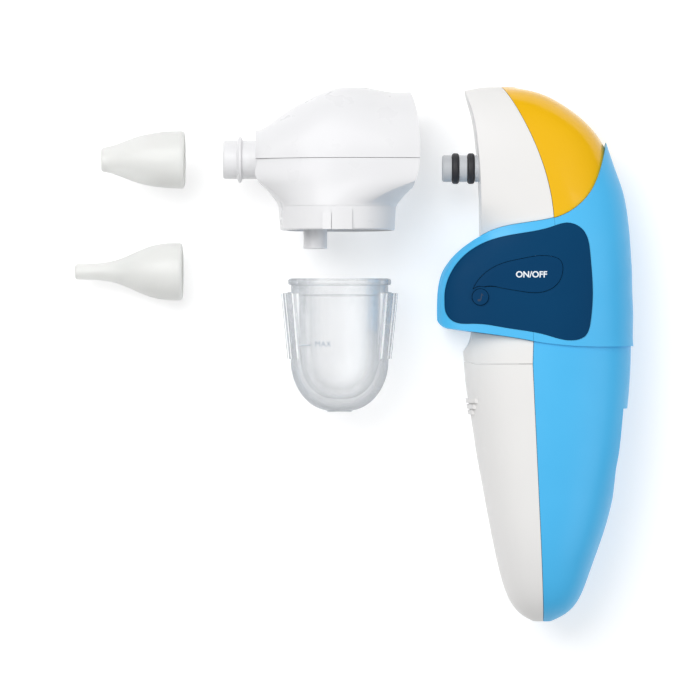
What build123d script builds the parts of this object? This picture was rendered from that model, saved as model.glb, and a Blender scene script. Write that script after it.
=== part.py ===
from build123d import *
from math import cos, radians, sin
import os

os.makedirs("parts", exist_ok=True)

# Battery nasal aspirator, taken apart and laid out flat: handle, head, cup, wide tip, narrow tip.
# Millimetres, +Z up. +Y runs up the handle and +X runs from the nozzle to the handle's back.
# The handle, head, cup and wide tip share the middle plane Z = MID.

# ---------------------------------------------------------------- driving dimensions
MID = 19.15               # height of the common middle plane above the floor
REACH = 20.0              # half depth of cutters that go right through
GAP = 0.15                # seam between two shells
WALL = 2.0                # shell wall
FIT = 0.05                # radial clearance of a close fit
CARRIER_OUT = 1.45        # carrier wall under the saddle: outer face below the handle's skin
CARRIER_IN = 3.4          # and its inner face
PROUD = 0.25              # keypad above the saddle
PAD_DEPTH = 1.0           # keypad below the saddle's skin
KEY_PROUD = 0.6           # keys above the saddle
KEY_DEPTH = 1.4           # keys below the saddle's skin

DOCK = 17.0               # head travel onto the handle
NOZZLE_Y = 61.8           # nozzle and wide tip axis
SPIGOT_Y = 59.0           # suction spigot axis
SEAM_Y = 61.8             # seam between the head's two shells
CUP_X = -4.3              # cup axis
GRIP_TOP_R = 18.6         # cup grips, outer radius at the top
GRIP_FOOT_R = 16.5        # and at the foot
SKIRT_X = -5.0            # head skirt axis
NARROW_Y = 26.5           # spare tip axis
NARROW_Z = 9.3            # the spare tip lies on the floor

# Handle rings: height y, front x, back x, half width.
HANDLE = [
    (-84.4, 57.0, 62.8, 3.0),
    (-82.0, 52.9, 67.4, 7.2),
    (-78.0, 49.7, 71.1, 11.3),
    (-72.0, 47.3, 73.8, 14.4),
    (-63.0, 45.1, 77.0, 16.8),
    (-51.0, 42.7, 80.9, 17.9),
    (-37.5, 40.2, 84.0, 18.1),
    (-26.0, 38.3, 86.0, 18.1),
    (-15.0, 36.5, 87.1, 18.1),
    (-3.0, 35.1, 87.9, 18.1),
    (10.0, 35.0, 88.0, 18.1),
    (25.0, 37.4, 87.7, 18.1),
    (37.4, 37.6, 87.0, 18.1),
    (45.0, 31.0, 86.1, 18.1),
    (53.0, 24.0, 84.4, 18.1),
    (62.0, 21.0, 81.2, 17.9),
    (70.0, 21.5, 76.9, 17.0),
    (76.0, 24.0, 70.9, 15.0),
    (80.5, 28.5, 64.2, 11.9),
    (83.5, 35.0, 56.8, 7.4),
    (84.7, 41.0, 51.5, 3.0),
]
ROUND = 0.66              # squareness of a ring: 0.55 is an ellipse, 1.0 a rectangle

# Saddle rings: height y, front x, middle x, back x, half width, squareness of the front.
SADDLE = [
    (-4.0, 30.0, 61.6, 88.5, 18.9, 0.97),
    (4.0, 26.8, 61.8, 88.7, 18.9, 0.97),
    (9.0, 25.6, 61.9, 88.7, 18.9, 0.97),
    (14.5, 25.4, 61.9, 88.7, 18.9, 0.97),
    (19.0, 25.6, 61.9, 88.5, 18.9, 0.97),
    (24.0, 26.6, 61.9, 88.4, 18.9, 0.96),
    (29.0, 29.0, 61.9, 88.2, 18.9, 0.93),
    (34.0, 32.7, 61.9, 87.9, 18.9, 0.87),
    (39.0, 35.0, 61.2, 87.5, 18.9, 0.76),
    (45.0, 30.4, 58.6, 86.8, 18.8, 0.68),
    (53.0, 23.3, 54.2, 85.1, 18.8, 0.66),
    (62.0, 20.3, 51.1, 81.9, 18.6, 0.66),
    (70.0, 20.8, 49.2, 77.6, 17.7, 0.66),
]

# Head sections: x, height over the seam, half width.
HEAD = [
    (-30.8, 9.4, 9.0),
    (-24.0, 13.1, 13.0),
    (-16.0, 18.2, 16.3),
    (-8.0, 21.8, 18.0),
    (0.0, 23.2, 18.4),
    (8.0, 22.1, 18.4),
    (15.0, 21.3, 18.1),
    (24.0, 20.9, 17.7),
]
HEAD_DEPTH = 40.0         # the sections run far below the seam, so the side walls fall almost straight
# Levels of the head's lower shell and how far its outline has closed in to the round skirt there.
FLARE_LEVELS = [(SEAM_Y - GAP / 2, 0.0), (58.6, 0.0), (56.0, 0.02), (53.2, 0.34), (50.9, 0.65), (48.8, 0.87),
                (46.9, 1.0)]
SKIRT_R = 18.75           # the skirt's outer radius under the flare

# Seams of the handle, seen from the side.
FACE = [(34.9, 86.5), (35.3, 83.6), (37.1, 77.9), (39.3, 65.0), (40.2, 50.0), (40.2, 38.0)]
THROAT = [(40.2, 38.0), (39.2, 22.0), (37.6, 9.0)]
LIP = [(37.6, 9.0), (36.5, 3.4), (34.3, 0.5)]
WHITE_YELLOW = [(45.5, 86.5), (48.9, 81.8), (53.3, 74.2), (57.7, 64.7), (60.9, 55.1), (62.9, 43.0)]
YELLOW_BLUE = [(62.9, 43.0), (68.6, 45.6), (74.2, 51.0), (77.9, 59.2), (79.5, 65.2), (81.0, 72.0)]
CREASE = [(56.5, 4.3), (64.4, 3.2), (75.0, 2.6), (96.0, 3.0)]
WING_TOP = [(62.9, 43.0), (53.3, 41.3), (44.4, 39.4), (37.7, 36.0), (32.2, 31.7), (28.2, 25.9),
            (26.2, 19.0), (26.0, 14.0), (27.3, 10.2), (31.0, 8.2)]
WING_LOW = [(31.0, 8.2), (40.0, 6.9), (48.0, 5.8), (56.5, 4.3)]
PARTING = [(56.5, 4.3), (56.7, 12.0), (62.9, 36.0), (62.9, 43.0)]
DOOR_TOP = -2.95          # top edge of the battery cover
SEAM_FOOT = (60.2, -86.0)  # lower end of the straight seam between the cover and the rear shell

PANEL = [(28.7, 17.5), (29.6, 23.2), (34.5, 30.8), (43.0, 35.9), (53.0, 38.1), (62.0, 40.0),
         (67.5, 41.3), (71.8, 39.3), (74.3, 31.0), (75.0, 21.0), (74.4, 10.8), (72.6, 5.9),
         (68.8, 4.6), (60.0, 6.4), (48.5, 8.4), (38.0, 9.8), (31.0, 10.8), (29.1, 13.3)]
TEARDROP = [(37.6, 20.6), (40.3, 24.6), (45.5, 28.1), (53.0, 30.1), (61.8, 30.8), (64.9, 29.4),
            (65.5, 26.2), (63.5, 21.9), (58.5, 19.6), (52.9, 19.9), (45.5, 21.2), (39.6, 20.9)]
NOTE_KEY = (39.8, 18.1)   # centre of the round key
NOTE_R = 2.5
NOTE_RIM = 3.3
ON_PLUNGER = (57.0, 25.0)

# Drive and power, inside the handle.
PUMP_X = 68.0
PUMP_Z = MID - 1.5
MOTOR_R = 10.0
PUMP_R = 11.0
CELL_R = 7.1
CELL_X = 57.2
CELL_Z = 7.35


# ---------------------------------------------------------------- shapes that several pieces share
def save(builder, name):
    """Label a finished piece and write it."""
    builder.part.label = name
    export_step(builder.part, f"parts/{name}.step")


def moved(points, dx=0.0, dy=0.0):
    """A curve shifted in the XY plane."""
    return [(x + dx, y + dy) for x, y in points]


def ring_line(front, middle, back, half, blunt):
    """A closed ring of four Bezier quarters, for the line context around it."""
    for side in (1, -1):
        for end, square in ((front, blunt), (back, ROUND)):
            knee = middle - square * (middle - end)
            Bezier((end, 0), (end, side * square * half), (knee, side * half), (middle, side * half))


def hull(rows, grow=0.0):
    """The handle or the saddle as a closed loft, grown or shrunk all round."""
    with BuildPart() as form:
        for y, front, middle, back, half, blunt in rows:
            if half + grow < 0.8:
                continue
            level = y * (85.0 + grow) / 85.0
            with BuildSketch(Plane(origin=(0, level, MID), x_dir=(1, 0, 0), z_dir=(0, -1, 0))):
                with BuildLine():
                    ring_line(front - grow, middle, back + grow, half + grow, blunt)
                make_face()
        loft()
    return form.part


def head_hull(shrink=0.0):
    """The head's outer form as a closed loft along x, before the flare is cut."""
    with BuildPart() as form:
        for x, height, half in HEAD:
            with BuildSketch(Plane(origin=(x, SEAM_Y, MID), x_dir=(0, 1, 0), z_dir=(1, 0, 0))):
                with BuildLine():
                    ring_line(-HEAD_DEPTH, 0, height - shrink, half - shrink, ROUND)
                make_face()
        loft()
    return form.part


def grown(points, amount):
    """A clockwise closed outline with every point pushed outwards."""
    pushed = []
    for before, here, after in zip(points[-1:] + points[:-1], points, points[1:] + points[:1]):
        along = (Vector(*after) - Vector(*before)).normalized()
        pushed.append((here[0] - amount * along.Y, here[1] + amount * along.X))
    return pushed


def region(*curves, low=-REACH, high=REACH):
    """A closed region of the XY plane, extruded from low to high about the middle plane.
    Two points make a line and more make a spline."""
    with BuildPart() as form:
        with BuildSketch(Plane.XY.offset(MID + low)):
            with BuildLine():
                for points in curves:
                    if len(points) == 2:
                        Line(*points)
                    else:
                        Spline(*points)
            make_face()
        extrude(amount=high - low)
    return form.part


def loop_region(points, low=3.0, high=REACH):
    """A smooth closed outline extruded over one side of the middle plane."""
    with BuildPart() as form:
        with BuildSketch(Plane.XY.offset(MID + low)):
            with BuildLine():
                Spline(*points, periodic=True)
            make_face()
        extrude(amount=high - low)
    return form.part


def block(x, y, z):
    """A box between two x, two y and two z values."""
    with BuildPart() as form:
        with BuildSketch(Plane.XY.offset(z[0])):
            with Locations(((x[0] + x[1]) / 2, (y[0] + y[1]) / 2)):
                Rectangle(x[1] - x[0], y[1] - y[0])
        extrude(amount=z[1] - z[0])
    return form.part


def rod(plane, radius, length, bore=0.0):
    """A round bar or tube that starts on a plane and runs along its normal."""
    with BuildPart() as form:
        with BuildSketch(plane):
            Circle(radius)
            if bore:
                Circle(bore, mode=Mode.SUBTRACT)
        extrude(amount=length)
    return form.part


def x_plane(x, y, z=MID):
    """A plane facing +X."""
    return Plane(origin=(x, y, z), x_dir=(0, 1, 0), z_dir=(1, 0, 0))


def y_plane(x, y, z=MID):
    """A plane facing +Y."""
    return Plane(origin=(x, y, z), x_dir=(0, 0, 1), z_dir=(0, 1, 0))


def turned(points, origin, axis):
    """A solid of revolution: points are (distance along the axis, radius), closed in order."""
    plane = Plane(origin=origin, x_dir=axis, z_dir=(0, 0, 1))
    with BuildPart() as form:
        with BuildSketch(plane):
            with BuildLine():
                Polyline(*points, close=True)
            make_face()
        revolve(axis=Axis(origin, axis))
    return form.part


def pipe(points, bend, radius, bore):
    """A round tube along straight runs joined by arcs."""
    with BuildPart() as form:
        with BuildLine() as route:
            FilletPolyline(*points, radius=bend)
        with BuildSketch(Plane(origin=route.line @ 0, z_dir=route.line % 0)):
            Circle(radius)
            Circle(bore, mode=Mode.SUBTRACT)
        sweep(path=route.line)
    return form.part


HANDLE_ROWS = [(y, front, (front + back) / 2, back, half, ROUND) for y, front, back, half in HANDLE]
SKIN = hull(HANDLE_ROWS)
SKIN_IN = hull(HANDLE_ROWS, -WALL)
SADDLE_OUT = hull(SADDLE)
SADDLE_IN = hull(SADDLE, -WALL)

BEHIND_FACE = region(FACE, THROAT, LIP, [(34.3, 0.5), (25.0, 0.5)], [(25.0, 0.5), (25.0, -90.0)],
                     [(25.0, -90.0), (96.0, -90.0)], [(96.0, -90.0), (96.0, 86.5)],
                     [(96.0, 86.5), (34.9, 86.5)])
VOID = SKIN_IN & BEHIND_FACE.moved(Location((WALL, 0, 0)))

WHITE = region(moved(WHITE_YELLOW, dx=-GAP / 2), moved(PARTING, dx=-GAP / 2),
               [(56.5 - GAP / 2, 4.3), (56.3 - GAP / 2, DOOR_TOP + GAP)],
               [(56.3 - GAP / 2, DOOR_TOP + GAP), (38.2, DOOR_TOP + GAP)],
               [(38.2, DOOR_TOP + GAP), (35.2, -2.0)], [(35.2, -2.0), (15.0, -2.0)],
               [(15.0, -2.0), (15.0, 86.5)], [(15.0, 86.5), (45.5 - GAP / 2, 86.5)])
YELLOW = region(moved(WHITE_YELLOW, dx=GAP / 2), moved(YELLOW_BLUE, dx=GAP / 2),
                [(81.0 + GAP / 2, 72.0), (96.0, 72.0)], [(96.0, 72.0), (96.0, 90.0)],
                [(96.0, 90.0), (45.5 + GAP / 2, 90.0)],
                [(45.5 + GAP / 2, 90.0), (45.5 + GAP / 2, 86.5)])
BLUE_HIGH = region(moved(PARTING[:-1], dx=GAP / 2) + [(62.9 + GAP / 2, 43.0 - GAP)],
                   moved(YELLOW_BLUE, dx=GAP / 2, dy=-GAP),
                   [(81.0 + GAP / 2, 72.0 - GAP), (96.0, 72.0 - GAP)],
                   [(96.0, 72.0 - GAP), (96.0, 3.0)], moved(CREASE[:-1], dx=GAP / 2) + [(96.0, 3.0)])
BLUE_LOW = region(moved(CREASE[:-1], dx=GAP / 2) + [(96.0, 3.0)], [(96.0, 3.0), (96.0, -86.0)],
                  [(96.0, -86.0), (SEAM_FOOT[0] + GAP / 2, SEAM_FOOT[1])],
                  [(SEAM_FOOT[0] + GAP / 2, SEAM_FOOT[1]), (56.3 + GAP / 2, DOOR_TOP)],
                  [(56.3 + GAP / 2, DOOR_TOP), (56.5 + GAP / 2, 4.3)])
DOOR = region([(56.3 - GAP / 2, DOOR_TOP), (38.2, DOOR_TOP)], [(38.2, DOOR_TOP), (35.2, -2.15)],
              [(35.2, -2.15), (25.0, -2.15)], [(25.0, -2.15), (25.0, -86.0)],
              [(25.0, -86.0), (SEAM_FOOT[0] - GAP / 2, SEAM_FOOT[1])],
              [(SEAM_FOOT[0] - GAP / 2, SEAM_FOOT[1]), (56.3 - GAP / 2, DOOR_TOP)])
WING = region(WING_TOP, WING_LOW, PARTING)

NOTE_ZONE = rod(Plane(origin=(*NOTE_KEY, MID + 3.0)), NOTE_RIM, REACH)
NOTE_HOLE = rod(Plane(origin=(*NOTE_KEY, MID + 3.0)), NOTE_R + GAP, REACH)
TEAR_HOLE = loop_region(grown(TEARDROP, GAP)) - NOTE_ZONE
PAD_FLOOR = hull(SADDLE, -PAD_DEPTH - 0.1)
POCKET_HIGH = loop_region(grown(PANEL, 0.1)) - PAD_FLOOR
POCKET_LOW = loop_region(grown(PANEL, 0.1), low=-REACH, high=-3.0) - PAD_FLOOR

# ---------------------------------------------------------------- handle shells
UNDER_SADDLE = hull(HANDLE_ROWS, -CARRIER_OUT) & block((20, 80), (-10, 60), (0, MID + 5.0))
CARRIER_ZONE = block((20, 80), (2.0, 46.0), (0, MID + 5.0))

with BuildPart() as front_shell:
    add(SKIN & BEHIND_FACE & WHITE)
    for shift in (-GAP, GAP):
        add(WING.moved(Location((0, shift, 0))) - UNDER_SADDLE, mode=Mode.SUBTRACT)
    add(VOID - CARRIER_ZONE, mode=Mode.SUBTRACT)
    add(hull(HANDLE_ROWS, -CARRIER_IN) & BEHIND_FACE.moved(Location((3.0, 0, 0))), mode=Mode.SUBTRACT)
    add(rod(x_plane(25.0, SPIGOT_Y), 4.25 + FIT, 25.0), mode=Mode.SUBTRACT)
save(front_shell, "front_shell")

with BuildPart() as top_cap:
    add(SKIN & YELLOW)
    add(SKIN_IN, mode=Mode.SUBTRACT)
save(top_cap, "top_cap")

# Rear shell: proud above the crease, with a shallow tongue and sound holes in its back.
BOSS_Y = (-12.0, -46.0)
with BuildPart() as rear_shell:
    add(SADDLE_OUT & BLUE_HIGH)
    add(SKIN & BLUE_LOW)
    add(SKIN_IN, mode=Mode.SUBTRACT)
    add(POCKET_HIGH, mode=Mode.SUBTRACT)
    add(POCKET_LOW, mode=Mode.SUBTRACT)
    add(TEAR_HOLE, mode=Mode.SUBTRACT)
    with BuildSketch(Plane.XY.offset(MID - 8.0)):
        with BuildLine():
            Polyline((84.6, -17.0), (90.0, -17.0), (90.0, -46.0), (82.0, -46.0), close=True)
        make_face()
    extrude(amount=16.0, mode=Mode.SUBTRACT)
    for row in range(3):
        for column in range(-1, 2):
            add(rod(x_plane(76.0, -25.0 - 3.2 * row, MID + 3.2 * column), 0.7, 12.0), mode=Mode.SUBTRACT)
    for y in BOSS_Y:
        add(rod(x_plane(66.4, y), 3.0, 30.0) & SKIN_IN)
        add(rod(x_plane(66.0, y), 1.15, 8.0), mode=Mode.SUBTRACT)
save(rear_shell, "rear_shell")

# Saddle: hollow under its skin, solid at the nose, with a cradle there for the docked cup.
INSET = WING.moved(Location((0, -2.0, 0))) & WING.moved(Location((0, 2.0, 0)))
CRADLE = rod(y_plane(CUP_X + DOCK, -5.0), GRIP_TOP_R + 0.3, 60.0)
with BuildPart() as grip_saddle:
    add(SADDLE_OUT & WING)
    add(hull(HANDLE_ROWS, -CARRIER_OUT + 0.15), mode=Mode.SUBTRACT)
    add(SADDLE_IN & INSET & block((34.0, 48.0), (0, 50), (0, 40)), mode=Mode.SUBTRACT)
    add(CRADLE, mode=Mode.SUBTRACT)
    add(POCKET_HIGH, mode=Mode.SUBTRACT)
    add(POCKET_LOW, mode=Mode.SUBTRACT)
    add(TEAR_HOLE, mode=Mode.SUBTRACT)
    add(NOTE_HOLE, mode=Mode.SUBTRACT)
save(grip_saddle, "grip_saddle")

PAD_SKIN = hull(SADDLE, PROUD) - hull(SADDLE, -PAD_DEPTH)
with BuildPart() as keypad_panel:
    add(PAD_SKIN & loop_region(PANEL))
    add(TEAR_HOLE, mode=Mode.SUBTRACT)
    add(NOTE_HOLE, mode=Mode.SUBTRACT)
save(keypad_panel, "keypad_panel")

with BuildPart() as finger_pad:
    add(PAD_SKIN & loop_region(PANEL, low=-REACH, high=-3.0))
save(finger_pad, "finger_pad")

# ---------------------------------------------------------------- battery cover
RIDGES = ((-14.5, 10.0), (-16.4, 8.6), (-18.2, 7.0))
with BuildPart() as battery_cover:
    add(SKIN & DOOR)
    add(SKIN_IN, mode=Mode.SUBTRACT)
    for y, half in RIDGES:
        bar = block((30.0, 50.0), (y - 0.7, y + 0.7), (MID - half, MID + half))
        add((hull(HANDLE_ROWS, 0.7) & bar) - hull(HANDLE_ROWS, -1.0))
save(battery_cover, "battery_cover")

# ---------------------------------------------------------------- keys
KEY_SKIN = hull(SADDLE, KEY_PROUD) - hull(SADDLE, -KEY_DEPTH)
with BuildPart() as on_off_button:
    add((KEY_SKIN & loop_region(TEARDROP)) - rod(Plane(origin=(*NOTE_KEY, MID)), NOTE_RIM + GAP, 30.0))
    add(rod(Plane(origin=(*ON_PLUNGER, MID + 14.2)), 1.8, 3.2))
save(on_off_button, "on_off_button")

with BuildPart() as melody_button:
    add(hull(SADDLE, KEY_PROUD + 0.3) & rod(Plane(origin=(*NOTE_KEY, MID + 14.2)), NOTE_R, 20.0))
save(melody_button, "melody_button")

# ---------------------------------------------------------------- spigot, hose, pump and motor
SPIGOT_AT = (28.2, SPIGOT_Y, MID)
with BuildPart() as spigot:
    add(turned([(0.0, 2.4), (0.0, 3.9), (0.5, 4.25), (2.95, 4.25), (2.95, 3.2), (5.45, 3.2), (5.45, 4.25),
                (7.85, 4.25), (7.85, 3.2), (10.35, 3.2), (10.35, 4.25), (14.2, 4.25), (14.2, 6.2),
                (15.4, 6.2), (15.4, 2.0), (20.6, 2.0), (20.6, 1.2), (12.0, 1.2), (12.0, 2.4)],
               SPIGOT_AT, (1, 0, 0)))
save(spigot, "spigot")

with BuildPart() as o_rings:
    for x in (32.4, 37.3):
        with BuildSketch(Plane(origin=(x, SPIGOT_Y, MID), x_dir=(1, 0, 0), z_dir=(0, 0, 1))):
            with Locations((0, 4.07)):
                SlotOverall(2.3, 1.66)
    revolve(axis=Axis(SPIGOT_AT, (1, 0, 0)))
save(o_rings, "o_rings")

PUMP_FOOT = 30.0
PUMP_TOP = 46.0
NIPPLE = (64.0, MID)
with BuildPart() as suction_hose:
    add(pipe([(NIPPLE[0], PUMP_TOP + 2.4, MID), (NIPPLE[0], SPIGOT_Y, MID), (44.0, SPIGOT_Y, MID)],
             5.0, 2.9, 2.0 + FIT))
save(suction_hose, "suction_hose")

with BuildPart() as pump_housing:
    add(rod(y_plane(PUMP_X, PUMP_FOOT, PUMP_Z), PUMP_R, PUMP_TOP - PUMP_FOOT, PUMP_R - 1.2))
save(pump_housing, "pump_housing")

with BuildPart() as valve_plate:
    add(rod(y_plane(PUMP_X, PUMP_TOP, PUMP_Z), PUMP_R, 2.0))
    add(rod(y_plane(*NIPPLE[:1], PUMP_TOP + 2.0), 2.0, 4.5))
    add(rod(y_plane(*NIPPLE[:1], PUMP_TOP - 1.0), 1.1, 9.0), mode=Mode.SUBTRACT)
    add(rod(y_plane(PUMP_X + 4.0, PUMP_TOP - 1.0, PUMP_Z), 1.0, 4.0), mode=Mode.SUBTRACT)
save(valve_plate, "valve_plate")

with BuildPart() as pump_diaphragm:
    add(turned([(0.0, 0.0), (0.0, 2.5), (1.5, 3.0), (1.5, 9.4), (2.7, 9.4), (2.7, 5.5), (3.2, 4.0), (3.2, 0.0)],
               (PUMP_X, 39.6, PUMP_Z), (0, 1, 0)))
save(pump_diaphragm, "pump_diaphragm")

with BuildPart() as motor_bracket:
    add(block((57.0, 80.0), (28.3, PUMP_FOOT), (PUMP_Z - 12.0, PUMP_Z + 10.2)))
    add(rod(y_plane(PUMP_X, 28.0, PUMP_Z), 3.1, 5.0), mode=Mode.SUBTRACT)
    add(hull(HANDLE_ROWS, -WALL - 0.2), mode=Mode.INTERSECT)
save(motor_bracket, "motor_bracket")

with BuildPart() as motor_can:
    add(turned([(0.0, 2.0), (0.0, 8.8), (0.8, MOTOR_R - 0.2), (24.4, MOTOR_R - 0.2), (25.2, 9.0), (25.2, 3.0),
                (26.2, 3.0), (26.2, 1.0 + FIT), (23.5, 1.0 + FIT), (23.5, 8.6), (1.2, 8.6), (1.2, 2.0)],
               (PUMP_X, 3.0, PUMP_Z), (0, 1, 0)))
save(motor_can, "motor_can")

with BuildPart() as motor_rotor:
    add(turned([(0.0, 0.0), (0.0, 1.0), (3.0, 1.0), (3.0, 7.8), (18.0, 7.8), (18.0, 1.0), (34.0, 1.0),
                (34.0, 0.0)], (PUMP_X, 4.5, PUMP_Z), (0, 1, 0)))
save(motor_rotor, "motor_rotor")

with BuildPart() as eccentric:
    add(rod(y_plane(PUMP_X, 33.0, PUMP_Z), 2.4, 3.0))
    add(rod(y_plane(PUMP_X + 1.5, 36.0, PUMP_Z), 4.5, 2.2))
    add(rod(y_plane(PUMP_X, 32.0, PUMP_Z), 1.0, 7.0), mode=Mode.SUBTRACT)
save(eccentric, "eccentric")

# ---------------------------------------------------------------- electronics
BOARD_Z = MID + 8.9
with BuildPart() as circuit_board:
    with BuildSketch(Plane.XY.offset(BOARD_Z)):
        with Locations((53.0, 20.0)):
            RectangleRounded(33.0, 16.0, 2.0)
        with Locations((41.0, 25.0), (66.0, 15.0)):
            Circle(1.1, mode=Mode.SUBTRACT)
    extrude(amount=1.4)
save(circuit_board, "circuit_board")

with BuildPart() as tact_switches:
    for x, y in (ON_PLUNGER, NOTE_KEY):
        with BuildSketch(Plane.XY.offset(BOARD_Z + 1.4)):
            with Locations((x, y)):
                RectangleRounded(5.0, 5.0, 0.5)
        extrude(amount=1.8)
        with BuildSketch(Plane.XY.offset(BOARD_Z + 3.2)):
            with Locations((x, y)):
                Circle(1.5)
        extrude(amount=0.8)
save(tact_switches, "tact_switches")

with BuildPart() as buzzer:
    add(rod(x_plane(77.2, -28.5), 6.4, 3.6))
    add(rod(x_plane(80.0, -28.5), 1.0, 3.0), mode=Mode.SUBTRACT)
save(buzzer, "buzzer")

# ---------------------------------------------------------------- battery bay
CELL_FOOT = -53.4
CELL_TOP = -4.2
with BuildPart() as battery_tray:
    add(block((65.0, 66.4), (-58.0, -0.4), (MID - 15.0, MID + 15.0)))
    add(block((48.0, 65.0), (-58.0, -56.6), (MID - 15.0, MID + 15.0)))
    add(block((46.0, 65.0), (-1.8, -0.4), (MID - 15.0, MID + 15.0)))
    add(hull(HANDLE_ROWS, -WALL - 0.2), mode=Mode.INTERSECT)
    for y in BOSS_Y:
        add(rod(x_plane(64.0, y), 1.35, 4.0), mode=Mode.SUBTRACT)
save(battery_tray, "battery_tray")

with BuildPart() as tray_screws:
    for y in BOSS_Y:
        add(turned([(0.0, 0.0), (0.0, 1.6), (0.7, 2.3), (1.5, 2.3), (1.5, 1.1), (8.5, 1.1), (9.3, 0.0)],
                   (63.5, y, MID), (1, 0, 0)))
        add(block((63.0, 64.2), (y - 1.2, y + 1.2), (MID - 0.25, MID + 0.25)), mode=Mode.SUBTRACT)
save(tray_screws, "tray_screws")

with BuildPart() as battery_cells:
    for side, foot in ((1, CELL_FOOT), (-1, CELL_FOOT + 1.2)):
        z = MID + side * CELL_Z
        add(rod(y_plane(CELL_X, foot, z), CELL_R, CELL_TOP - CELL_FOOT))
        tip = CELL_TOP if side > 0 else CELL_FOOT
        add(rod(y_plane(CELL_X, tip, z), 2.7, 1.2))
save(battery_cells, "battery_cells")

with BuildPart() as contact_plates:
    add(block((52.0, 62.0), (-56.6, -56.2), (MID - 13.0, MID + 13.0)))
    for side in (-1, 1):
        z = MID + side * CELL_Z
        add(block((53.0, 62.0), (-2.2, -1.8), (z - 5.0, z + 5.0)))
save(contact_plates, "contact_plates")

SPRING_WIRE = 0.35
with BuildPart() as battery_springs:
    for side, foot, rings in ((1, -56.2, 3), (-1, -2.95, 1)):
        for ring in range(rings):
            radius = 4.2 - 0.9 * ring
            level = foot + SPRING_WIRE + ring * 2 * SPRING_WIRE
            with BuildSketch(Plane(origin=(CELL_X, level, MID + side * CELL_Z))):
                with Locations((radius, 0)):
                    Circle(SPRING_WIRE)
            revolve(axis=Axis((CELL_X, level, MID + side * CELL_Z), (0, 1, 0)))
save(battery_springs, "battery_springs")

# ---------------------------------------------------------------- aspirator head
REAR = [(17.2, 84.5), (18.2, 82.7), (19.8, 77.6), (20.8, 68.0), (20.9, 62.0), (20.4, 57.5), (19.2, 53.6),
        (17.4, 49.0)]
FLARE = [(55.3, 25.9), (53.1, 23.4), (50.8, 21.3), (48.8, 20.0), (47.4, 19.2)]
SKIRT_FOOT = 39.4
FLOOR = (46.0, 48.6)      # the head's floor over the cup
SOCKET_R = 4.95
PAD_R = 18.95             # two locating pads stand a little proud of the skirt
HEAD_OUT = head_hull()
HEAD_IN = head_hull(1.9)


def head_front(shift):
    """Everything in front of the head's convex rear face."""
    return region(moved(REAR, dx=shift), [(17.4 + shift, 49.0), (17.4 + shift, 30.0)],
                  [(17.4 + shift, 30.0), (-40.0, 30.0)], [(-40.0, 30.0), (-40.0, 84.5)],
                  [(-40.0, 84.5), (17.2 + shift, 84.5)])


def head_level(y, closed):
    """One outline of the head's lower shell, between the seam's long form (0) and the round skirt (1)."""
    front = [(HEAD[0][0], share * HEAD[0][2]) for share in (-1.0, -0.5, 0.0, 0.5, 1.0)]
    back = [(22.0, share * 17.75) for share in (1.0, 0.5, 0.0, -0.5, -1.0)]
    side = [(x, half) for x, height, half in HEAD[:-1]] + back[:1]
    other = [(x, -half) for x, half in reversed(side)]
    turns = [(-28.4, 28.4), (28.4, 120.0), (120.0, 240.0), (240.0, 331.6)]
    with BuildSketch(Plane(origin=(0, y, MID), x_dir=(1, 0, 0), z_dir=(0, -1, 0))) as level:
        with BuildLine():
            for points, (first, last) in zip((front, side, back, other), turns):
                blended = []
                for step, (x, z) in enumerate(points):
                    angle = radians(first + (last - first) * step / (len(points) - 1))
                    round_x = SKIRT_X - SKIRT_R * cos(angle)
                    round_z = SKIRT_R * sin(angle)
                    blended.append((x + closed * (round_x - x), z + closed * (round_z - z)))
                Spline(*blended)
        make_face()
    return level.sketch


def head_foot():
    """The outer form of the head's lower shell over the skirt: straight walls, then a smooth flare."""
    with BuildPart() as form:
        loft([head_level(y, closed) for y, closed in FLARE_LEVELS])
    return form.part


def flare(lift, inset):
    """The round flare over the skirt, open upwards."""
    with BuildPart() as form:
        with BuildSketch(Plane(origin=(SKIRT_X, lift, MID), x_dir=(1, 0, 0), z_dir=(0, 0, 1))):
            with BuildLine():
                Spline(*[(radius - inset, y) for y, radius in FLARE])
                Polyline((19.2 - inset, 47.4), (0, 47.4), (0, 80.0), (50.0, 80.0), (50.0, 62.0),
                         (25.9 - inset, 55.3))
            make_face()
        revolve(axis=Axis((SKIRT_X, 0, MID), (0, 1, 0)))
    return form.part


NECK_HOLE = rod(x_plane(-45.0, NOZZLE_Y), 6.1 + FIT, 20.0)
SOCKET_HOLE = rod(x_plane(16.0, SPIGOT_Y), SOCKET_R, 10.0)
with BuildPart() as head_upper_shell:
    add(HEAD_OUT & head_front(0) & block((-40, 30), (SEAM_Y + GAP / 2, 90), (-2, 40)))
    add(HEAD_IN & head_front(-1.9) & block((-29.0, 30), (0, 90), (-2, 40)), mode=Mode.SUBTRACT)
    add(NECK_HOLE, mode=Mode.SUBTRACT)
    add(SOCKET_HOLE, mode=Mode.SUBTRACT)
save(head_upper_shell, "head_upper_shell")

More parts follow.
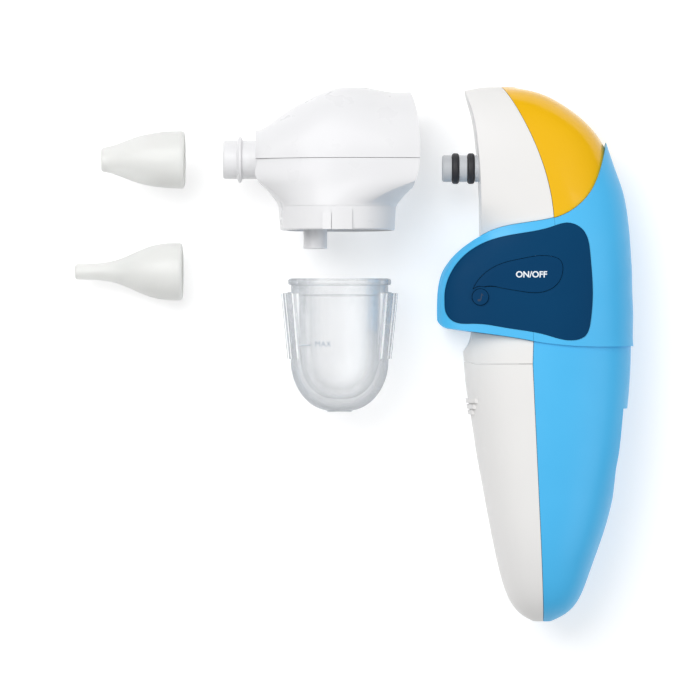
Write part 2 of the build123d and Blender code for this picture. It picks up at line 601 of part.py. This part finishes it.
LOWER_ROOM = HEAD_IN & head_front(-1.9) & block((-29.0, 30), (FLOOR[1], 90), (-2, 40)) & flare(2.0, 1.5)
with BuildPart() as head_lower_shell:
    add(head_foot() & head_front(0))
    add(turned([(0.0, 0.0), (0.0, 17.9), (0.4, 18.2), (4.0, 18.4), (8.6, SKIRT_R - 0.1), (8.6, 0.0)],
               (SKIRT_X, SKIRT_FOOT, MID), (0, 1, 0)))
    for x, top in (((-9.6, -6.9), 44.5), ((-6.7, -0.3), 45.6)):
        band = rod(y_plane(SKIRT_X, SKIRT_FOOT), PAD_R, top - SKIRT_FOOT, SKIRT_R - 1.0)
        add(band & block(x, (SKIRT_FOOT, top), (MID, MID + REACH)))
    add(LOWER_ROOM, mode=Mode.SUBTRACT)
    add(rod(y_plane(SKIRT_X + 0.7, SKIRT_FOOT - 1), 16.8, FLOOR[0] - SKIRT_FOOT + 1), mode=Mode.SUBTRACT)
    add(NECK_HOLE, mode=Mode.SUBTRACT)
    add(SOCKET_HOLE, mode=Mode.SUBTRACT)
    add(rod(y_plane(-12.0, 40.0), 3.78 + FIT, 12.0), mode=Mode.SUBTRACT)
    add(rod(y_plane(2.0, 40.0), 2.2, 12.0), mode=Mode.SUBTRACT)
save(head_lower_shell, "head_lower_shell")

with BuildPart() as nozzle_tube:
    add(turned([(0.0, 4.2), (0.0, 5.7), (0.5, 6.1), (4.3, 6.1), (5.1, 7.3), (5.7, 7.3), (6.2, 6.1), (12.0, 6.1),
                (12.0, 4.8), (23.5, 4.8), (23.5, 3.85), (1.2, 3.85), (1.2, 4.2)],
               (-41.2, NOZZLE_Y, MID), (1, 0, 0)))
save(nozzle_tube, "nozzle_tube")

with BuildPart() as outlet_tube:
    add(pipe([(-19.0, NOZZLE_Y, MID), (-12.0, NOZZLE_Y, MID), (-12.0, 33.6, MID)], 5.4, 3.78, 2.9))
save(outlet_tube, "outlet_tube")

with BuildPart() as socket_sleeve:
    add(rod(x_plane(9.0, SPIGOT_Y), 6.0, 12.0))
    add(HEAD_IN & head_front(-1.95) & block((-29.0, 30), (FLOOR[1], 90), (-2, 40)) & flare(2.0, 1.5),
        mode=Mode.INTERSECT)
    add(rod(x_plane(10.6, SPIGOT_Y), SOCKET_R, 12.0), mode=Mode.SUBTRACT)
    add(rod(x_plane(8.0, SPIGOT_Y), 2.15, 4.0), mode=Mode.SUBTRACT)
save(socket_sleeve, "socket_sleeve")

with BuildPart() as suction_duct:
    add(pipe([(10.6, SPIGOT_Y, MID), (2.0, SPIGOT_Y, MID), (2.0, 46.2, MID)], 4.0, 2.1, 1.4))
save(suction_duct, "suction_duct")

with BuildPart() as cup_seal:
    with BuildSketch(y_plane(CUP_X, 44.0)):
        Circle(16.6)
        Circle(13.4, mode=Mode.SUBTRACT)
    extrude(amount=2.0)
save(cup_seal, "cup_seal")

# ---------------------------------------------------------------- cup
CUP_RIM_Y = 24.1
GRIP_TOP_Y = 19.5
GRIP_FOOT_Y = -1.3
RIB = 0.5                 # radius of the half-round ribs on the grips
with BuildPart() as collection_cup:
    with BuildSketch(Plane(origin=(CUP_X, CUP_RIM_Y, MID), x_dir=(1, 0, 0), z_dir=(0, 0, 1))):
        with BuildLine():
            Polyline((0, -38.2), (2.0, -38.15))
            Spline((2.0, -38.15), (7.5, -36.2), (11.3, -31.2), (12.6, -25.0), (13.0, -14.0), (13.3, 0))
            Polyline((13.3, 0), (16.0, 0), (16.4, -0.4), (16.4, -1.7), (16.0, -2.1), (15.5, -2.1), (15.5, -4.3),
                     (16.6, -4.3), (16.6, -5.2), (15.75, -5.4), (15.7, -20.0), (15.55, -26.6))
            Spline((15.55, -26.6), (14.0, -33.5), (9.8, -39.2), (4.2, -41.8))
            Polyline((4.2, -41.8), (3.8, -42.2), (0, -42.2), (0, -38.2))
        make_face()
    revolve(axis=Axis((CUP_X, 0, MID), (0, 1, 0)))
    for facing in (0, 180):
        axis = Axis((CUP_X, 0, MID), (0, 1, 0))
        turn = Plane(origin=(CUP_X, 0, MID), x_dir=(1, 0, 0), z_dir=(0, 0, 1)).rotated((0, facing + 39.5, 0))
        with BuildSketch(turn):
            with BuildLine():
                Polyline((14.6, GRIP_TOP_Y), (GRIP_TOP_R - RIB, GRIP_TOP_Y), (GRIP_FOOT_R - RIB, GRIP_FOOT_Y),
                         (14.6, GRIP_FOOT_Y), close=True)
            make_face()
        revolve(axis=axis, revolution_arc=-79.0)
        for angle in range(-34, 35, 17):
            aim = Plane(origin=(CUP_X, 0, MID), x_dir=(1, 0, 0), z_dir=(0, 0, 1)).rotated((0, facing + angle, 0))
            top = aim.from_local_coords((GRIP_TOP_R - RIB, GRIP_TOP_Y, 0))
            foot = aim.from_local_coords((GRIP_FOOT_R - RIB, GRIP_FOOT_Y, 0))
            with BuildSketch(Plane(origin=top, z_dir=foot - top)):
                Circle(RIB)
            extrude(amount=(foot - top).length)
    with BuildSketch(Plane(origin=(CUP_X, CUP_RIM_Y, MID), x_dir=(1, 0, 0), z_dir=(0, 0, 1))):
        with BuildLine():
            Polyline((0, -38.2), (2.0, -38.15))
            Spline((2.0, -38.15), (7.5, -36.2), (11.3, -31.2), (12.6, -25.0), (13.0, -14.0), (13.3, 0))
            Polyline((13.3, 0), (0, 0), (0, -38.2))
        make_face()
    revolve(axis=Axis((CUP_X, 0, MID), (0, 1, 0)), mode=Mode.SUBTRACT)
save(collection_cup, "collection_cup")

# ---------------------------------------------------------------- soft tips
def tip(length, outside, bore):
    """Closed profile of a soft tip: (distance behind the mouth, radius) points, mouth first."""
    with BuildLine() as line:
        Polyline((0, 7.5), (0, 8.4), (0.35, 8.9), (1.0, outside[0][1]))
        Spline((1.0, outside[0][1]), *outside[1:])
        tail = outside[-1][1]
        Polyline(outside[-1], (length - 0.4, tail - 0.1), (length, tail - 0.5), (length, bore),
                 (length - 2.0, bore))
        Spline((length - 2.0, bore), (0.62 * length, bore + 0.5), (10.4, 5.0))
        Polyline((10.4, 5.0), (10.4, 6.2), (6.2, 6.2), (6.2, 7.5), (0, 7.5))
    return line.line


WIDE_LENGTH = 26.4
WIDE_MOUTH = -53.4
WIDE = [(1.0, 9.15), (6.0, 8.95), (11.0, 8.3), (16.0, 7.0), (20.5, 5.3), (24.0, 4.2), (25.9, 3.8)]
with BuildPart() as wide_tip:
    with BuildSketch(Plane(origin=(WIDE_MOUTH, NOZZLE_Y, MID), x_dir=(-1, 0, 0), z_dir=(0, 0, 1))):
        with BuildLine():
            add(tip(WIDE_LENGTH, WIDE, 2.0))
        make_face()
    revolve(axis=Axis((WIDE_MOUTH, NOZZLE_Y, MID), (1, 0, 0)))
save(wide_tip, "wide_tip")

NARROW_LENGTH = 34.3
NARROW_MOUTH = -54.4
NARROW = [(1.0, 9.2), (5.0, 9.1), (9.0, 8.45), (13.0, 7.1), (17.0, 5.3), (21.0, 3.75), (25.0, 2.9), (29.0, 2.6),
          (33.9, 2.5)]
with BuildPart() as narrow_tip:
    with BuildSketch(Plane(origin=(NARROW_MOUTH, NARROW_Y, NARROW_Z), x_dir=(-1, 0, 0), z_dir=(0, 0, 1))):
        with BuildLine():
            add(tip(NARROW_LENGTH, NARROW, 1.3))
        make_face()
    revolve(axis=Axis((NARROW_MOUTH, NARROW_Y, NARROW_Z), (1, 0, 0)))
save(narrow_tip, "narrow_tip")
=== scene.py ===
import bmesh
import bpy
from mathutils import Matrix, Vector
from mathutils.bvhtree import BVHTree


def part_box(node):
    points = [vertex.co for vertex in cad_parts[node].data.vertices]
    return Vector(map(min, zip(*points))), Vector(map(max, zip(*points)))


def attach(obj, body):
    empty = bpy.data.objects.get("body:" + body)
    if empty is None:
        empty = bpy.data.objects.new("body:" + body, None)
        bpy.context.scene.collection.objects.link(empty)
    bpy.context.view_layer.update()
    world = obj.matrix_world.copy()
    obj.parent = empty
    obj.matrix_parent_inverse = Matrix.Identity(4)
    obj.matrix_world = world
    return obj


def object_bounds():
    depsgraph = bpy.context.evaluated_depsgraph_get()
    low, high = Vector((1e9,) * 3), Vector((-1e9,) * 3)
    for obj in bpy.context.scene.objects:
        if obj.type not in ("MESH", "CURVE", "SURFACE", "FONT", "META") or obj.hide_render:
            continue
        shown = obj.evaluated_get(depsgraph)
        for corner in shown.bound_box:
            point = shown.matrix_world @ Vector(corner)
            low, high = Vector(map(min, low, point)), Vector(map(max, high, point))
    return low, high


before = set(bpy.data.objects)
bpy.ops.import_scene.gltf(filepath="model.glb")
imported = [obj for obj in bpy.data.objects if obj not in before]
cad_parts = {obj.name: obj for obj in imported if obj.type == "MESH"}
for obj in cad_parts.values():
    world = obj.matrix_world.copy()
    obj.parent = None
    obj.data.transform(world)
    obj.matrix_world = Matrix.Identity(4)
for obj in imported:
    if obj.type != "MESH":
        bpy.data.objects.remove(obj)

# Battery nasal aspirator laid out in pieces on a white table, seen from straight above.
# Metres, in the CAD frame: +X towards the back of the handle, +Y up the handle, +Z up from the table.
MM = 0.001
CAD_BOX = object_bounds()
NOISE_RANGE = (0.3, 0.7)  # where nearly all values of a noise lie


# ---------------------------------------------------------------- materials
# Scales are in cycles per metre and depths in metres.
PATCH_SCALE = 22.0        # soft colour patches of moulded plastic
WEAR_SCALE = 140.0        # its uneven gloss
COAT_ROUGH = 0.08
LINE_SCALE = 2600.0       # fine lines of drawn or rolled metal
LINE_STRETCH = 0.04       # how much slower those lines change along the metal than across it
SILICONE_IOR = 1.41
CLEAR_IOR = 1.45
CLEAR_BLEND = 0.57        # how far the clear plastic's edge-on colour, its own tint and painted shade, reaches inwards
CLEAR_ALPHA = (0.06, 1.0)  # its cover face on and edge on
CLEAR_TRANSMISSION = 0.55
TRACK_SCALE = 260.0
TRACK_WIDTH = 0.05        # in bricks of the track pattern
# Shares of a battery cell's height where its wrap and its pale band begin and end.
WRAP_FROM, BAND_FROM, BAND_TO, WRAP_TO = 0.03, 0.62, 0.68, 0.965


def blank_material(name):
    """A new node material: (material, nodes, links, shader)."""
    material = bpy.data.materials.new(name)
    material.use_nodes = True
    tree = material.node_tree
    return material, tree.nodes, tree.links, tree.nodes["Principled BSDF"]


def place(nodes, links, stretch=(1, 1, 1)):
    """A socket with the place on the object, in metres, stretched along each axis."""
    coordinate = nodes.new("ShaderNodeTexCoord")
    mapping = nodes.new("ShaderNodeMapping")
    mapping.inputs["Scale"].default_value = stretch
    links.new(coordinate.outputs["Object"], mapping.inputs["Vector"])
    return mapping.outputs["Vector"]


def noise(nodes, links, vector, scale, detail=3.0):
    """A noise value socket; scale is in cycles per metre."""
    texture = nodes.new("ShaderNodeTexNoise")
    texture.inputs["Scale"].default_value = scale
    texture.inputs["Detail"].default_value = detail
    links.new(vector, texture.inputs["Vector"])
    return texture.outputs["Fac"]


def spread(nodes, links, value, low, high):
    """A noise value mapped to the range low to high."""
    mapped = nodes.new("ShaderNodeMapRange")
    mapped.inputs["From Min"].default_value = NOISE_RANGE[0]
    mapped.inputs["From Max"].default_value = NOISE_RANGE[1]
    mapped.inputs["To Min"].default_value = low
    mapped.inputs["To Max"].default_value = high
    links.new(value, mapped.inputs["Value"])
    return mapped.outputs["Result"]


def between(nodes, links, value, first, second):
    """A colour socket between two colours."""
    mix = nodes.new("ShaderNodeMix")
    mix.data_type = "RGBA"
    mix.inputs["A"].default_value = (*first, 1)
    mix.inputs["B"].default_value = (*second, 1)
    links.new(value, mix.inputs["Factor"])
    return mix.outputs["Result"]


def bump(nodes, links, shader, value, depth, strength=1.0):
    """Relief of a given depth in metres on the shader."""
    relief = nodes.new("ShaderNodeBump")
    relief.inputs["Strength"].default_value = strength
    relief.inputs["Distance"].default_value = depth
    links.new(value, relief.inputs["Height"])
    links.new(relief.outputs["Normal"], shader.inputs["Normal"])


def linear(red, green, blue):
    """A display colour (0 to 255) as a linear colour, by the sRGB curve without its straight foot."""
    return tuple(((c / 255 + 0.055) / 1.055) ** 2.4 for c in (red, green, blue))


def mottled(nodes, links, shader, value, colour, shade):
    """Two close colours on the shader, shared out by a noise value."""
    tone = between(nodes, links, spread(nodes, links, value, 0, 1), colour, shade)
    links.new(tone, shader.inputs["Base Color"])


def dulled(nodes, links, shader, value, low, high):
    """Roughness between two values on the shader, shared out by a noise value."""
    links.new(spread(nodes, links, value, low, high), shader.inputs["Roughness"])


def moulded(name, colour, shade, rough, grain=1500.0, depth=0.000004, coat=0.0, specular=0.5):
    """Moulded plastic: two close colours in soft patches, uneven gloss and a fine grain."""
    material, nodes, links, shader = blank_material(name)
    spot = place(nodes, links)
    mottled(nodes, links, shader, noise(nodes, links, spot, PATCH_SCALE), colour, shade)
    wear = noise(nodes, links, spot, WEAR_SCALE, detail=5.0)
    dulled(nodes, links, shader, wear, rough - 0.04, rough + 0.05)
    shader.inputs["Specular IOR Level"].default_value = specular
    shader.inputs["Coat Weight"].default_value = coat
    shader.inputs["Coat Roughness"].default_value = COAT_ROUGH
    bump(nodes, links, shader, noise(nodes, links, spot, grain, detail=2.0), depth)
    return material


def brushed(name, colour, shade, along):
    """Drawn or rolled metal with fine lines along one axis."""
    material, nodes, links, shader = blank_material(name)
    stretch = tuple(LINE_STRETCH if axis == along else 1.0 for axis in "xyz")
    lines = noise(nodes, links, place(nodes, links, stretch), LINE_SCALE, detail=4.0)
    mottled(nodes, links, shader, lines, colour, shade)
    dulled(nodes, links, shader, lines, 0.26, 0.42)
    shader.inputs["Metallic"].default_value = 1.0
    bump(nodes, links, shader, lines, depth=0.000006)
    return material


def milky(name, colour, shade, clear, rough):
    """Translucent silicone: part milky, part clear, with a dull skin."""
    material, nodes, links, shader = blank_material(name)
    spot = place(nodes, links)
    mottled(nodes, links, shader, noise(nodes, links, spot, scale=60.0), colour, shade)
    dulled(nodes, links, shader, noise(nodes, links, spot, scale=300.0), rough - 0.05, rough + 0.07)
    shader.inputs["Transmission Weight"].default_value = clear
    shader.inputs["IOR"].default_value = SILICONE_IOR
    bump(nodes, links, shader, noise(nodes, links, spot, scale=900.0, detail=2.0), depth=0.000008)
    return material


def glassy(name, colour, edge):
    """Clear hard plastic: nearly nothing where it is seen face on, and a darker tint where it is seen edge
    on, partly the plastic's own tint through its thickness and partly painted shade for the darker
    surroundings its edges refract.
    """
    material, nodes, links, shader = blank_material(name)
    facing = nodes.new("ShaderNodeLayerWeight")
    facing.inputs["Blend"].default_value = CLEAR_BLEND
    links.new(between(nodes, links, facing.outputs["Facing"], colour, edge), shader.inputs["Base Color"])
    cover = nodes.new("ShaderNodeMapRange")
    cover.inputs["To Min"].default_value = CLEAR_ALPHA[0]
    cover.inputs["To Max"].default_value = CLEAR_ALPHA[1]
    links.new(facing.outputs["Facing"], cover.inputs["Value"])
    links.new(cover.outputs["Result"], shader.inputs["Alpha"])
    flow = noise(nodes, links, place(nodes, links, stretch=(1.0, 0.25, 1.0)), scale=120.0, detail=2.0)
    dulled(nodes, links, shader, flow, 0.01, 0.05)
    shader.inputs["Transmission Weight"].default_value = CLEAR_TRANSMISSION
    shader.inputs["IOR"].default_value = CLEAR_IOR
    bump(nodes, links, shader, flow, depth=0.00001, strength=0.3)
    return material


def circuit(name):
    """Green board with lighter tracks under the lacquer."""
    material, nodes, links, shader = blank_material(name)
    spot = place(nodes, links)
    tracks = nodes.new("ShaderNodeTexBrick")
    tracks.inputs["Scale"].default_value = TRACK_SCALE
    tracks.inputs["Mortar Size"].default_value = TRACK_WIDTH
    tracks.inputs["Color1"].default_value = (*linear(22, 92, 48), 1)
    tracks.inputs["Color2"].default_value = (*linear(26, 100, 54), 1)
    tracks.inputs["Mortar"].default_value = (*linear(70, 140, 84), 1)
    links.new(spot, tracks.inputs["Vector"])
    links.new(tracks.outputs["Color"], shader.inputs["Base Color"])
    dulled(nodes, links, shader, noise(nodes, links, spot, scale=400.0), 0.25, 0.38)
    bump(nodes, links, shader, tracks.outputs["Fac"], depth=0.00003)
    return material


def cell_wrap(name, low, high):
    """Battery cells between two heights: dark wrap with a pale band, and bare steel at both ends."""
    material, nodes, links, shader = blank_material(name)
    spot = place(nodes, links)
    split = nodes.new("ShaderNodeSeparateXYZ")
    links.new(spot, split.inputs["Vector"])
    share = nodes.new("ShaderNodeMapRange")
    share.inputs["From Min"].default_value = low
    share.inputs["From Max"].default_value = high
    links.new(split.outputs["Y"], share.inputs["Value"])
    bands = nodes.new("ShaderNodeValToRGB")
    bands.color_ramp.interpolation = "CONSTANT"
    steel, wrap, pale = (0.55, 0.55, 0.56, 1), (*linear(44, 50, 62), 1), (*linear(196, 204, 214), 1)
    bands.color_ramp.elements[0].color = steel
    bands.color_ramp.elements[1].position = WRAP_FROM
    bands.color_ramp.elements[1].color = wrap
    for at, colour in ((BAND_FROM, pale), (BAND_TO, wrap), (WRAP_TO, steel)):
        bands.color_ramp.elements.new(at).color = colour
    links.new(share.outputs["Result"], bands.inputs["Fac"])
    links.new(bands.outputs["Color"], shader.inputs["Base Color"])
    dulled(nodes, links, shader, noise(nodes, links, spot, scale=500.0), 0.28, 0.4)
    bump(nodes, links, shader, noise(nodes, links, spot, scale=1200.0), depth=0.000005)
    return material


WHITE = moulded("white_satin", linear(232, 231, 229), linear(228, 227, 226), 0.42, specular=0.2)
WHITE_GLOSS = moulded("white_polished", linear(230, 230, 231), linear(226, 226, 228), 0.3, coat=0.05,
                      specular=0.25)
YELLOW = moulded("yellow_gloss", linear(238, 184, 0), linear(232, 178, 0), 0.2, coat=0.2, specular=0.3)
BLUE = moulded("blue_satin", linear(76, 186, 240), linear(70, 180, 235), 0.38, grain=2600.0, depth=0.00001,
               specular=0.35)
PANEL = moulded("panel_soft", linear(2, 62, 102), linear(0, 56, 95), 0.5, grain=3200.0, depth=0.00002,
                specular=0.06)
# The keys are the panel's blue painted a little darker: painted shade.
KEY_SHADED = moulded("key_soft_shaded", linear(0, 59, 99), linear(0, 54, 92), 0.48, grain=3200.0, depth=0.00002,
              specular=0.06)
GREY = moulded("grey_moulded", linear(203, 206, 209), linear(192, 195, 199), 0.36)
BLACK = moulded("black_moulded", linear(38, 38, 41), linear(30, 30, 33), 0.5, depth=0.00001)
RUBBER = moulded("black_seal", linear(46, 46, 50), linear(36, 36, 40), 0.55, grain=2400.0, depth=0.00001)
INK = moulded("white_ink", linear(236, 242, 247), linear(224, 232, 240), 0.45)
NOTE_INK = moulded("note_ink", linear(8, 40, 70), linear(6, 34, 60), 0.5)
STEEL = brushed("steel_drawn", (0.52, 0.53, 0.55), (0.62, 0.63, 0.64), "y")
NICKEL = brushed("nickel_rolled", (0.62, 0.6, 0.56), (0.72, 0.7, 0.66), "x")
SILICONE = milky("silicone_milky", linear(253, 253, 251), linear(249, 250, 248), 0.42, 0.36)
HOSE = milky("silicone_hose", linear(232, 236, 236), linear(222, 227, 228), 0.4, 0.4)
# The edge colour is partly the plastic's own tint and partly painted shade for what its edges refract.
CLEAR = glassy("clear_plastic", (0.97, 0.985, 1.0), linear(98, 112, 126))
MARK = moulded("frosted_mark", linear(176, 186, 196), linear(166, 176, 188), 0.6)
BOARD = circuit("board_green")
CELL_LOW, CELL_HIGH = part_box("battery_cells")
CELLS = cell_wrap("cell_printed", CELL_LOW.y, CELL_HIGH.y)

FINISHES = {
    "front_shell": WHITE, "battery_cover": WHITE, "top_cap": YELLOW, "rear_shell": BLUE, "grip_saddle": BLUE,
    "keypad_panel": PANEL, "finger_pad": PANEL, "on_off_button": KEY_SHADED, "melody_button": KEY_SHADED,
    "spigot": GREY, "pump_housing": GREY, "socket_sleeve": GREY, "o_rings": RUBBER, "pump_diaphragm": RUBBER,
    "valve_plate": BLACK, "motor_bracket": BLACK, "tact_switches": BLACK, "buzzer": BLACK,
    "battery_tray": BLACK, "eccentric": BLACK, "motor_can": STEEL, "tray_screws": STEEL,
    "motor_rotor": STEEL, "contact_plates": NICKEL, "battery_springs": NICKEL, "circuit_board": BOARD,
    "battery_cells": CELLS,
    "head_upper_shell": WHITE_GLOSS, "head_lower_shell": WHITE_GLOSS, "nozzle_tube": WHITE_GLOSS,
    "outlet_tube": WHITE_GLOSS, "suction_hose": HOSE, "suction_duct": HOSE, "cup_seal": HOSE,
    "collection_cup": CLEAR, "wide_tip": SILICONE, "narrow_tip": SILICONE,
}
for node_name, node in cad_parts.items():
    node.data.materials.clear()
    node.data.materials.append(FINISHES[node_name])


# ---------------------------------------------------------------- printed and engraved marks
PRINT_HALF = 0.025 * MM   # half thickness of a printed mark
EDGE_MAX = 0.5 * MM       # a mark's longest edge, so that it follows the surface under it
WELD = 0.001 * MM         # points of a mark closer than this are one
SPLITS = 4                # at most this many halvings of a mark's long edges


def surface_of(node_name):
    """Ray search over a CAD node."""
    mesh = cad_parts[node_name].data
    corners = [vertex.co.copy() for vertex in mesh.vertices]
    return BVHTree.FromPolygons(corners, [tuple(face.vertices) for face in mesh.polygons])


def printed(name, curve, on_node, body, material):
    """A flat filled curve laid on the upper side of a node as a thin solid that follows it."""
    curve.dimensions = "2D"
    curve.fill_mode = "BOTH"
    curve.extrude = PRINT_HALF
    drawn = bpy.data.objects.new(name + "_curve", curve)
    bpy.context.scene.collection.objects.link(drawn)
    bpy.context.view_layer.update()
    mesh = bpy.data.meshes.new_from_object(drawn.evaluated_get(bpy.context.evaluated_depsgraph_get()))
    bpy.data.objects.remove(drawn)
    shape = bmesh.new()
    shape.from_mesh(mesh)
    bmesh.ops.remove_doubles(shape, verts=shape.verts, dist=WELD)
    bmesh.ops.triangulate(shape, faces=shape.faces)
    for _ in range(SPLITS):
        long_edges = [e for e in shape.edges if e.calc_length() > EDGE_MAX]
        if not long_edges:
            break
        bmesh.ops.subdivide_edges(shape, edges=long_edges, cuts=1)
        bmesh.ops.triangulate(shape, faces=shape.faces)
    ground = surface_of(on_node)
    sky = CAD_BOX[1].z + 0.01
    for vertex in shape.verts:
        hit = ground.ray_cast(Vector((vertex.co.x, vertex.co.y, sky)), Vector((0, 0, -1)))[0]
        vertex.co.z += hit.z
    bmesh.ops.recalc_face_normals(shape, faces=shape.faces)
    shape.to_mesh(mesh)
    shape.free()
    piece = bpy.data.objects.new(name, mesh)
    bpy.context.scene.collection.objects.link(piece)
    mesh.materials.clear()
    mesh.materials.append(material)
    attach(piece, body)


def lettering(text, at, width, bold=0.0):
    """A text curve of a given width around a point; bold is what its strokes gain on each side."""
    curve = bpy.data.curves.new(text.lower().replace("/", "_"), "FONT")
    curve.body = text
    curve.size = 1.0
    probe = bpy.data.objects.new("probe", curve)
    bpy.context.scene.collection.objects.link(probe)
    bpy.context.view_layer.update()
    low = Vector(probe.bound_box[0])
    high = Vector(probe.bound_box[6])
    bpy.data.objects.remove(probe)
    curve.size = width / (high.x - low.x)
    curve.offset_x = at[0] - curve.size * (low.x + high.x) / 2
    curve.offset_y = at[1] - curve.size * (low.y + high.y) / 2
    curve.offset = bold
    return curve


def outline(name, points):
    """A closed curve of straight edges between points of the XY plane."""
    curve = bpy.data.curves.new(name, "CURVE")
    spline = curve.splines.new("BEZIER")
    spline.bezier_points.add(len(points) - 1)
    for knot, (x, y) in zip(spline.bezier_points, points):
        knot.co = (x, y, 0)
        knot.handle_left_type = knot.handle_right_type = "VECTOR"
    spline.use_cyclic_u = True
    return curve


key_low, key_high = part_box("on_off_button")
key_size = key_high - key_low
ON_OFF_SHARE = (0.65, 0.495)   # how far along and up the key the lettering's middle lies
ON_OFF_WIDTH = 9.6 * MM
ON_OFF_BOLD = 0.06 * MM
ON_OFF_AT = (key_low.x + ON_OFF_SHARE[0] * key_size.x, key_low.y + ON_OFF_SHARE[1] * key_size.y)
printed("on_off_lettering", lettering("ON/OFF", ON_OFF_AT, ON_OFF_WIDTH, ON_OFF_BOLD), "on_off_button",
        "on_off_key", INK)

note_low, note_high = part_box("melody_button")
note_mid = (note_low + note_high) / 2
# A musical note, in millimetres around the middle of the key: head, stem and flag.
NOTE_SHAPE = [(-0.95, -1.05), (-0.75, -0.7), (-0.25, -0.62), (0.02, -0.75), (0.3, 1.05), (0.45, 1.2),
              (0.75, 0.75), (1.1, 0.35), (0.85, 0.4), (0.5, 0.65), (0.3, -0.9), (0.0, -1.3), (-0.55, -1.4)]
note_points = [(note_mid.x + x * MM, note_mid.y + y * MM) for x, y in NOTE_SHAPE]
printed("note_symbol", outline("note", note_points), "melody_button", "melody_key", NOTE_INK)

cup_low, cup_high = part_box("collection_cup")
cup_mid = (cup_low + cup_high) / 2
MAX_WIDTH = 5.0 * MM
MAX_AT = (cup_mid.x - 5.1 * MM, cup_mid.y + 0.4 * MM)
printed("max_lettering", lettering("MAX", MAX_AT, MAX_WIDTH), "collection_cup", "cup", MARK)
LINE_HALF = (2.0 * MM, 0.12 * MM)
LINE_AT = (cup_mid.x - 11.0 * MM, MAX_AT[1] - 0.4 * MM)
corners = [(LINE_AT[0] + sx * LINE_HALF[0], LINE_AT[1] + sy * LINE_HALF[1])
           for sx, sy in ((-1, -1), (1, -1), (1, 1), (-1, 1))]
printed("max_line", outline("line", corners), "collection_cup", "cup", MARK)


# ---------------------------------------------------------------- table, light and camera
TABLE_SIZE = 4.0
TABLE_GLOW = 0.38             # the table's own light, which keeps the background white
TABLE_TONES = ((0.78, 0.78, 0.78), (0.8, 0.8, 0.8))
table_mesh = bpy.data.meshes.new("table")
half = TABLE_SIZE / 2
table_corners = [(-half, -half, 0), (half, -half, 0), (half, half, 0), (-half, half, 0)]
table_mesh.from_pydata(table_corners, [], [(0, 1, 2, 3)])
table = bpy.data.objects.new("table", table_mesh)
bpy.context.scene.collection.objects.link(table)
table_finish, table_nodes, table_links, table_shader = blank_material("table_white")
table_noise = noise(table_nodes, table_links, place(table_nodes, table_links), scale=3.0)
table_tone = between(table_nodes, table_links, table_noise, *TABLE_TONES)
table_links.new(table_tone, table_shader.inputs["Base Color"])
table_shader.inputs["Roughness"].default_value = 0.9
table_shader.inputs["Specular IOR Level"].default_value = 0.1
table_shader.inputs["Emission Color"].default_value = (1, 1, 1, 1)
table_shader.inputs["Emission Strength"].default_value = TABLE_GLOW
table_mesh.materials.append(table_finish)


def soft_light(name, at, size, power, aim):
    """A square area light that faces a point."""
    data = bpy.data.lights.new(name, "AREA")
    data.size = size
    data.energy = power
    lamp = bpy.data.objects.new(name, data)
    lamp.location = at
    lamp.rotation_euler = (Vector(aim) - Vector(at)).to_track_quat("-Z", "Y").to_euler()
    bpy.context.scene.collection.objects.link(lamp)


centre = (CAD_BOX[0] + CAD_BOX[1]) / 2
# Each light: name, shift from the middle along X and Y, height, side length and power in watts.
LIGHTS = (("key_light", -0.25, 0.3, 0.65, 0.55, 3.9), ("fill_light", 0.6, -0.1, 0.6, 0.6, 1.5))
for light_name, along, across, height, side, power in LIGHTS:
    soft_light(light_name, (centre.x + along, centre.y + across, height), side, power, centre)

SKY_STRENGTH = 0.52
SKY_LOW = (0.22, 0.225, 0.23, 1)   # at the horizon
SKY_HIGH = (1, 1, 1, 1)
SKY_HIGH_FROM = 0.75               # share of the way up from which the sky is white
world = bpy.data.worlds.new("studio")
bpy.context.scene.world = world
world.use_nodes = True
sky_nodes, sky_links = world.node_tree.nodes, world.node_tree.links
sky_place = sky_nodes.new("ShaderNodeTexCoord")
sky_split = sky_nodes.new("ShaderNodeSeparateXYZ")
sky_ramp = sky_nodes.new("ShaderNodeValToRGB")
sky_ramp.color_ramp.elements[0].position = 0.0
sky_ramp.color_ramp.elements[0].color = SKY_LOW
sky_ramp.color_ramp.elements[1].position = SKY_HIGH_FROM
sky_ramp.color_ramp.elements[1].color = SKY_HIGH
sky_links.new(sky_place.outputs["Generated"], sky_split.inputs["Vector"])
sky_links.new(sky_split.outputs["Z"], sky_ramp.inputs["Fac"])
sky_links.new(sky_ramp.outputs["Color"], sky_nodes["Background"].inputs["Color"])
sky_nodes["Background"].inputs["Strength"].default_value = SKY_STRENGTH

VIEW_CENTRE = (-1.0 * MM, 1.5 * MM)
VIEW_WIDTH = 221.9 * MM   # width of the picture at the height of the middle plane
CAMERA_RISE = 1.5
CAMERA_SENSOR = 36.0      # millimetres, as Blender counts it
CAMERA_FAR = 10.0
camera_data = bpy.data.cameras.new("camera")
camera_data.sensor_width = CAMERA_SENSOR
camera_data.lens = CAMERA_SENSOR * CAMERA_RISE / VIEW_WIDTH
camera_data.clip_end = CAMERA_FAR
camera = bpy.data.objects.new("camera", camera_data)
camera.location = (*VIEW_CENTRE, centre.z + CAMERA_RISE)
bpy.context.scene.collection.objects.link(camera)
bpy.context.scene.camera = camera
bpy.context.scene.view_settings.view_transform = "Standard"
